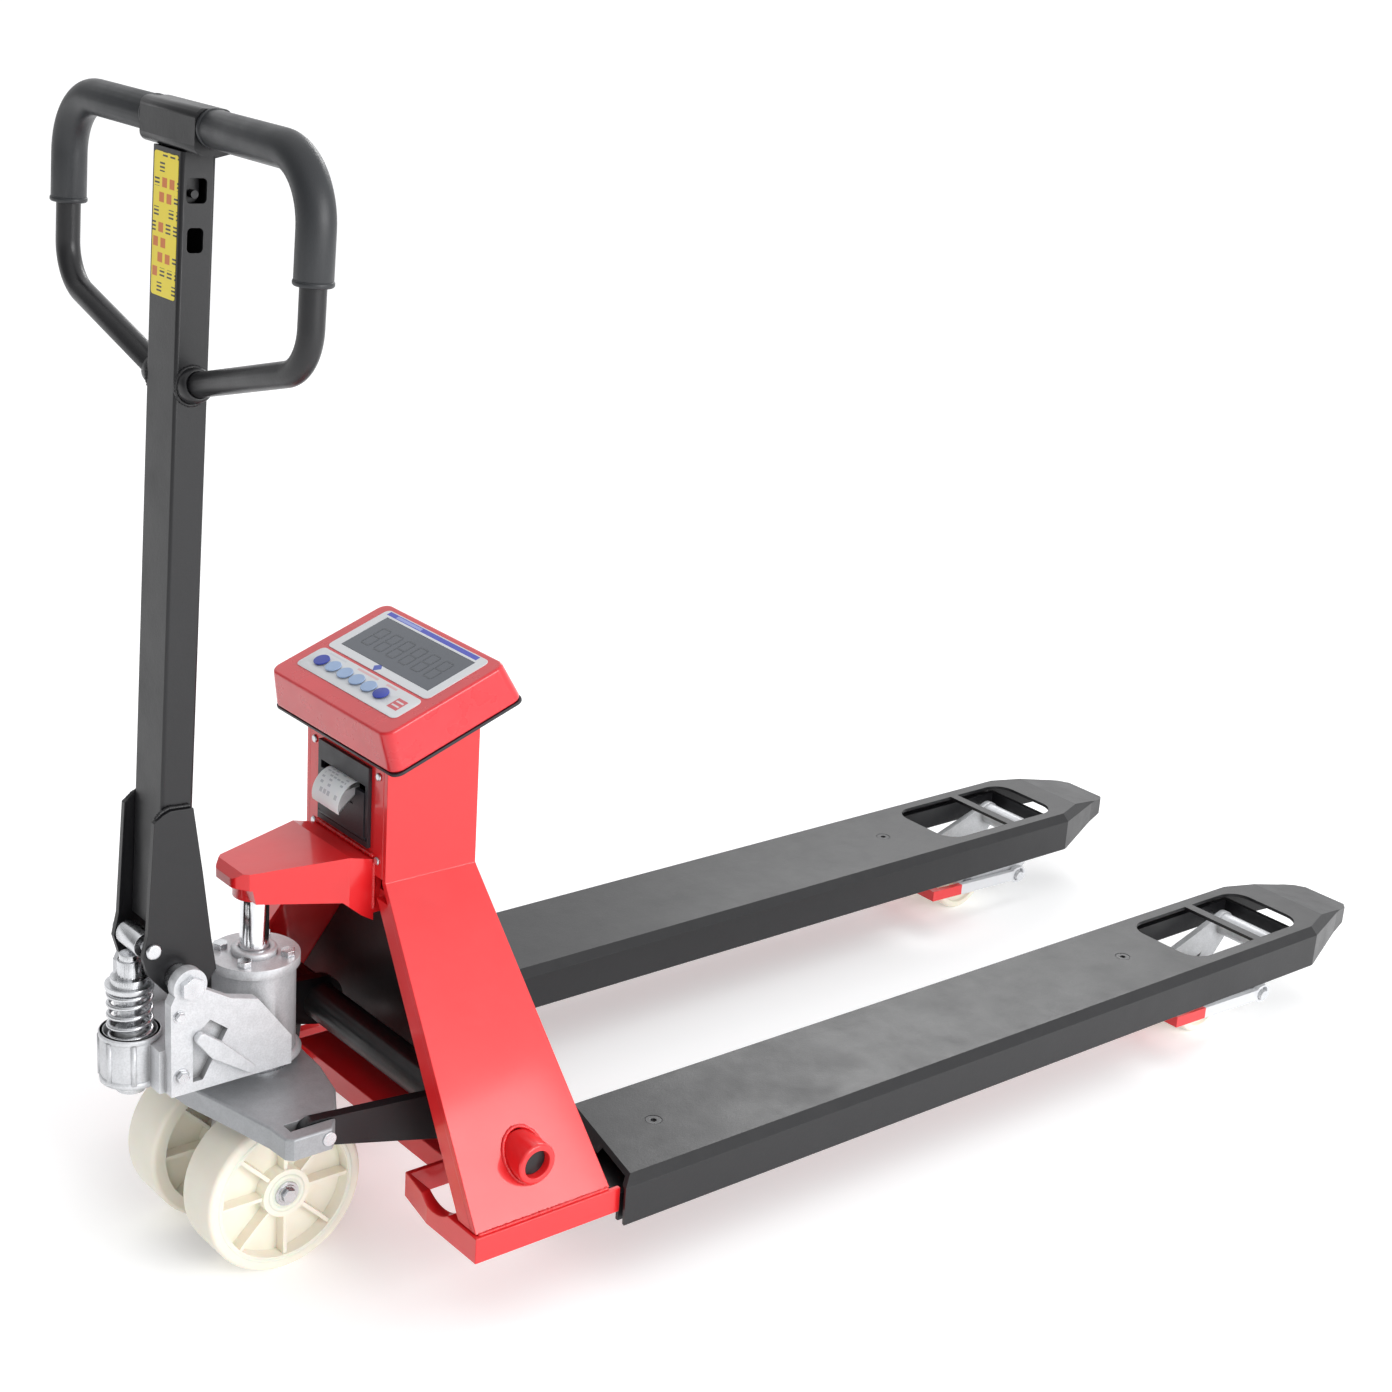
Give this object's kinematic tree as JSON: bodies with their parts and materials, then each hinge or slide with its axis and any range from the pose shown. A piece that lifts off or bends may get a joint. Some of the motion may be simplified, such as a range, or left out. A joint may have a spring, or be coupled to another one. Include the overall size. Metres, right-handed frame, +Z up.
{
  "type": "pallet scale",
  "caption": "Hand pallet truck with a weighing platform on its forks, an indicator console and a receipt printer on the column.",
  "frame": {"origin": "on the floor under the middle of the whole truck's box", "axes": "+X from the handle to the fork tips, +Y to the left, +Z up"},
  "size_m": [1.602, 0.57, 1.0978],
  "materials": {
    "red_paint": "glossy red paint",
    "black_paint": "satin black powder coat",
    "cast_silver": "aluminium paint on a casting",
    "grey_casting": "satin grey paint on a casting",
    "zinc": "zinc plated",
    "chrome": "hard chrome",
    "nylon": "cream nylon",
    "grip": "soft grey-black moulding",
    "black_plastic": "fine matt",
    "red_plastic": "satin red moulding",
    "overlay": "printed film",
    "lcd": "dark display window",
    "key_blue": "matt",
    "key_light": "matt",
    "board": "solder mask",
    "paper": "thermal paper"
  },
  "bodies": {
    "chassis": {"right_side_plate": "red_paint", "left_side_plate": "red_paint", "right_foot": "red_paint", "left_foot": "red_paint", "right_inner_fork": "black_paint", "left_inner_fork": "black_paint", "right_fork_cover": "black_paint", "left_fork_cover": "black_paint", "foot_crossmember": "red_paint", "column_front": "red_paint", "rear_panel": "black_paint", "pivot_bosses": "red_paint", "rocker_shaft": "zinc", "head_bracket": "red_paint", "piston_rod": "chrome", "load_cells": "cast_silver", "yoke_pins": "zinc", "console_housing": "red_plastic", "console_tray": "red_plastic", "overlay_sheets": "overlay", "lcd_window": "lcd", "circuit_board": "board", "battery": "black_plastic", "printer_frame": "black_plastic", "screws": "zinc"},
    "carrier": {"base_plate": "grey_casting", "thrust_bearing": "zinc", "link_pins": "zinc"},
    "steering": {"pump_body": "cast_silver", "cap_bolts": "zinc", "wheel_axle": "zinc", "tiller_shaft": "zinc"},
    "right_wheel": {"right_steer_wheel": "nylon"},
    "left_wheel": {"left_steer_wheel": "nylon"},
    "tiller": {"handle_bracket": "black_paint", "handle_post": "black_paint", "handle_loop": "black_paint", "hand_grips": "grip", "press_roller": "zinc"},
    "control": {"control_lever": "black_paint"},
    "release": {"release_lever": "cast_silver"},
    "plunger": {"pump_plunger": "zinc", "pump_spring": "zinc"},
    "rocker": {"rocker": "black_paint", "rocker_pins": "zinc"},
    "push_rods": {"push_rods": "red_paint"},
    "yokes": {"yokes": "zinc", "roller_axles": "zinc"},
    "right_roller": {"right_load_roller": "nylon"},
    "left_roller": {"left_load_roller": "nylon"},
    "door": {"printer_door": "black_plastic", "receipt": "paper"},
    "platen": {"platen_roller": "grip"},
    "paper": {"paper_roll": "paper"},
    "key_1": {"key_1": "key_blue"},
    "key_2": {"key_2": "key_light"},
    "key_3": {"key_3": "key_light"},
    "key_4": {"key_4": "key_light"},
    "key_5": {"key_5": "key_light"},
    "key_6": {"key_6": "key_blue"}
  },
  "joints": [
    {"name": "lift", "type": "slide", "parent": "chassis", "child": "carrier", "axis": [0, 0, -1], "range_m": [-0.025, 0.075]},
    {"name": "steer", "type": "hinge", "parent": "carrier", "child": "steering", "pos_m": [-0.643, 0, 0.19], "axis": [0, 0, 1], "range_deg": [-75, 75]},
    {"name": "right_wheel_spin", "type": "hinge", "parent": "steering", "child": "right_wheel", "pos_m": [-0.654, -0.057, 0.083], "axis": [0, 1, 0], "continuous": true},
    {"name": "left_wheel_spin", "type": "hinge", "parent": "steering", "child": "left_wheel", "pos_m": [-0.654, 0.057, 0.083], "axis": [0, 1, 0], "continuous": true},
    {"name": "tiller_swing", "type": "hinge", "parent": "steering", "child": "tiller", "pos_m": [-0.741, 0, 0.315], "axis": [0, -1, 0], "range_deg": [0, 80], "stiffness_Nm_per_rad": 25, "springref_deg": -22.92},
    {"name": "control_lever_swing", "type": "hinge", "parent": "tiller", "child": "control", "pos_m": [-0.71467, -0.012, 1.02452], "axis": [0, 1, 0], "range_deg": [-14, 14], "stiffness_Nm_per_rad": 1.5},
    {"name": "release_lever_swing", "type": "hinge", "parent": "steering", "child": "release", "pos_m": [-0.717, -0.062, 0.246], "axis": [0, 1, 0], "range_deg": [-12, 12]},
    {"name": "plunger_slide", "type": "slide", "parent": "steering", "child": "plunger", "axis": [0, 0, -1], "range_m": [0, 0.0505], "deforming": ["pump_spring"]},
    {"name": "rocker_swing", "type": "hinge", "parent": "chassis", "child": "rocker", "pos_m": [-0.489, 0, 0.15], "axis": [0, 1, 0], "range_deg": [-27, 10]},
    {"name": "push_rod_swing", "type": "hinge", "parent": "rocker", "child": "push_rods", "pos_m": [-0.493, 0, 0.07], "axis": [0, 1, 0], "range_deg": [-10, 28]},
    {"name": "yoke_swing", "type": "hinge", "parent": "chassis", "child": "yokes", "pos_m": [0.65, 0, 0.082], "axis": [0, 1, 0], "range_deg": [-41, 15]},
    {"name": "right_roller_spin", "type": "hinge", "parent": "yokes", "child": "right_roller", "pos_m": [0.524, -0.2075, 0.04], "axis": [0, 1, 0], "continuous": true},
    {"name": "left_roller_spin", "type": "hinge", "parent": "yokes", "child": "left_roller", "pos_m": [0.524, 0.2075, 0.04], "axis": [0, 1, 0], "continuous": true},
    {"name": "printer_door_swing", "type": "hinge", "parent": "chassis", "child": "door", "pos_m": [-0.547, 0, 0.413], "axis": [0, -1, 0], "range_deg": [0, 60]},
    {"name": "platen_spin", "type": "hinge", "parent": "door", "child": "platen", "pos_m": [-0.538, 0, 0.452], "axis": [0, 1, 0], "continuous": true},
    {"name": "paper_spin", "type": "hinge", "parent": "chassis", "child": "paper", "pos_m": [-0.512, 0, 0.439], "axis": [0, 1, 0], "continuous": true},
    {"name": "key_1_press", "type": "slide", "parent": "chassis", "child": "key_1", "axis": [0.342, 0, -0.9397], "range_m": [0, 0.0008], "stiffness_N_per_m": 800, "springref_m": -0.0005},
    {"name": "key_2_press", "type": "slide", "parent": "chassis", "child": "key_2", "axis": [0.342, 0, -0.9397], "range_m": [0, 0.0008], "stiffness_N_per_m": 800, "springref_m": -0.0005},
    {"name": "key_3_press", "type": "slide", "parent": "chassis", "child": "key_3", "axis": [0.342, 0, -0.9397], "range_m": [0, 0.0008], "stiffness_N_per_m": 800, "springref_m": -0.0005},
    {"name": "key_4_press", "type": "slide", "parent": "chassis", "child": "key_4", "axis": [0.342, 0, -0.9397], "range_m": [0, 0.0008], "stiffness_N_per_m": 800, "springref_m": -0.0005},
    {"name": "key_5_press", "type": "slide", "parent": "chassis", "child": "key_5", "axis": [0.342, 0, -0.9397], "range_m": [0, 0.0008], "stiffness_N_per_m": 800, "springref_m": -0.0005},
    {"name": "key_6_press", "type": "slide", "parent": "chassis", "child": "key_6", "axis": [0.342, 0, -0.9397], "range_m": [0, 0.0008], "stiffness_N_per_m": 800, "springref_m": -0.0005}
  ],
  "couplings": [
    {"joint": "rocker_swing", "follows": "lift", "rad_per_m": -5.95},
    {"joint": "push_rod_swing", "follows": "lift", "rad_per_m": 6.19},
    {"joint": "yoke_swing", "follows": "lift", "rad_per_m": -9.2},
    {"joint": "plunger_slide", "follows": "tiller_swing", "m_per_rad": 0.0353},
    {"joint": "release_lever_swing", "follows": "control_lever_swing", "ratio": 0.85}
  ]
}
